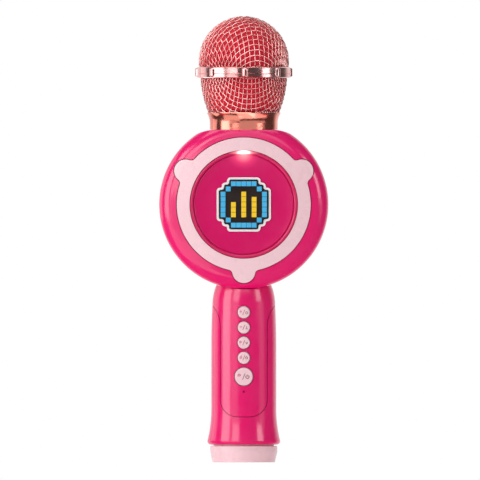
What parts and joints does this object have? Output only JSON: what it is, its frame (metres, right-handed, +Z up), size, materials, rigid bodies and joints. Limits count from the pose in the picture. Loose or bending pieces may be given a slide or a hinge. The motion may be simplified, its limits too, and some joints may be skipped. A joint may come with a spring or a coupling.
{
  "type": "toy microphone",
  "caption": "Handheld karaoke toy microphone: wire mesh head, round body with lit display face and rear speaker, slim handle with push buttons and a flat foot.",
  "frame": {"origin": "middle of the flat foot of the handle, on the surface it stands on", "axes": "+Z up along the handle to the mesh head, -Y towards the display and buttons, +X to the right seen from the front"},
  "size_m": [0.0948, 0.0546, 0.25],
  "materials": {
    "magenta_shell": "glossy moulded magenta",
    "pale_pink": "satin moulded pale pink",
    "display_gloss": "high gloss deep magenta",
    "light_guide": "clear pink light guide",
    "rose_plating": "rose gold plated plastic",
    "rose_wire": "rose gold plated woven wire",
    "crimson_foam": "open-cell crimson foam",
    "badge_white": "glossy white",
    "badge_black": "glossy black",
    "badge_blue": "glossy sky blue",
    "badge_yellow": "glossy yellow",
    "steel": "zinc plated",
    "black_plastic": "plain moulded",
    "white_plastic": "plain moulded",
    "circuit_board": "green solder mask",
    "chip_black": "moulded packages",
    "led_white": "small light emitters",
    "clear_pipe": "smoked clear plastic",
    "battery_wrap": "shrink wrapped cell",
    "magnet_iron": "ferrite and zinc plated steel",
    "copper_coil": "enamelled copper wire",
    "cone_paper": "pressed paper",
    "black_rubber": "soft rubber",
    "capsule_metal": "drawn can",
    "lead_red": "insulated lead"
  },
  "bodies": {
    "housing": {"badge_backing": "badge_white", "badge_blue_tiles": "badge_blue", "badge_field": "badge_black", "badge_yellow_bars": "badge_yellow", "base_screws": "steel", "battery_cell": "battery_wrap", "battery_lead": "lead_red", "board_chips": "chip_black", "body_screws": "steel", "capsule_cup": "black_rubber", "capsule_mount": "white_plastic", "charge_board": "circuit_board", "charge_lead": "lead_red", "charge_port": "steel", "charge_tongue": "black_plastic", "control_board": "circuit_board", "display_disc": "display_gloss", "end_cap": "pale_pink", "foam_liner": "crimson_foam", "front_body_shell": "magenta_shell", "grille_band": "rose_plating", "grille_collar": "rose_plating", "grip": "magenta_shell", "handle_chassis": "black_plastic", "head_screws": "steel", "indicator_light": "clear_pipe", "led_board": "circuit_board", "led_board_screws": "steel", "led_chips": "led_white", "light_lead": "lead_red", "light_ring": "light_guide", "lower_grille": "rose_wire", "mic_capsule": "capsule_metal", "mic_lead": "lead_red", "neck_panel": "magenta_shell", "neck_spigot": "black_plastic", "rear_body_shell": "magenta_shell", "speaker_frame": "black_plastic", "speaker_gasket": "black_rubber", "speaker_grille": "magenta_shell", "speaker_lead": "lead_red", "speaker_magnet": "magnet_iron", "speaker_screws": "steel", "speaker_surround": "black_rubber", "speaker_yoke": "magnet_iron", "tact_switches": "black_plastic", "trim_ring": "pale_pink", "upper_grille": "rose_wire"},
    "button_1_body": {"button_1": "pale_pink", "plunger_1": "white_plastic"},
    "button_2_body": {"button_2": "pale_pink", "plunger_2": "white_plastic"},
    "button_3_body": {"button_3": "pale_pink", "plunger_3": "white_plastic"},
    "button_4_body": {"button_4": "pale_pink", "plunger_4": "white_plastic"},
    "power_button_body": {"power_button": "pale_pink", "power_plunger": "white_plastic"},
    "speaker_cone_body": {"speaker_cone": "cone_paper", "speaker_coil": "copper_coil"}
  },
  "joints": [
    {"name": "button_1_press", "type": "slide", "parent": "housing", "child": "button_1_body", "axis": [0, 1, 0], "range_m": [0, 0.0006], "stiffness_N_per_m": 1500},
    {"name": "button_2_press", "type": "slide", "parent": "housing", "child": "button_2_body", "axis": [0, 1, 0], "range_m": [0, 0.0006], "stiffness_N_per_m": 1500},
    {"name": "button_3_press", "type": "slide", "parent": "housing", "child": "button_3_body", "axis": [0, 1, 0], "range_m": [0, 0.0006], "stiffness_N_per_m": 1500},
    {"name": "button_4_press", "type": "slide", "parent": "housing", "child": "button_4_body", "axis": [0, 1, 0], "range_m": [0, 0.0006], "stiffness_N_per_m": 1500},
    {"name": "power_button_press", "type": "slide", "parent": "housing", "child": "power_button_body", "axis": [0, 1, 0], "range_m": [0, 0.0006], "stiffness_N_per_m": 1500},
    {"name": "speaker_cone_travel", "type": "slide", "parent": "housing", "child": "speaker_cone_body", "axis": [0, 1, 0], "range_m": [-0.0003, 0.0003], "stiffness_N_per_m": 1500}
  ]
}
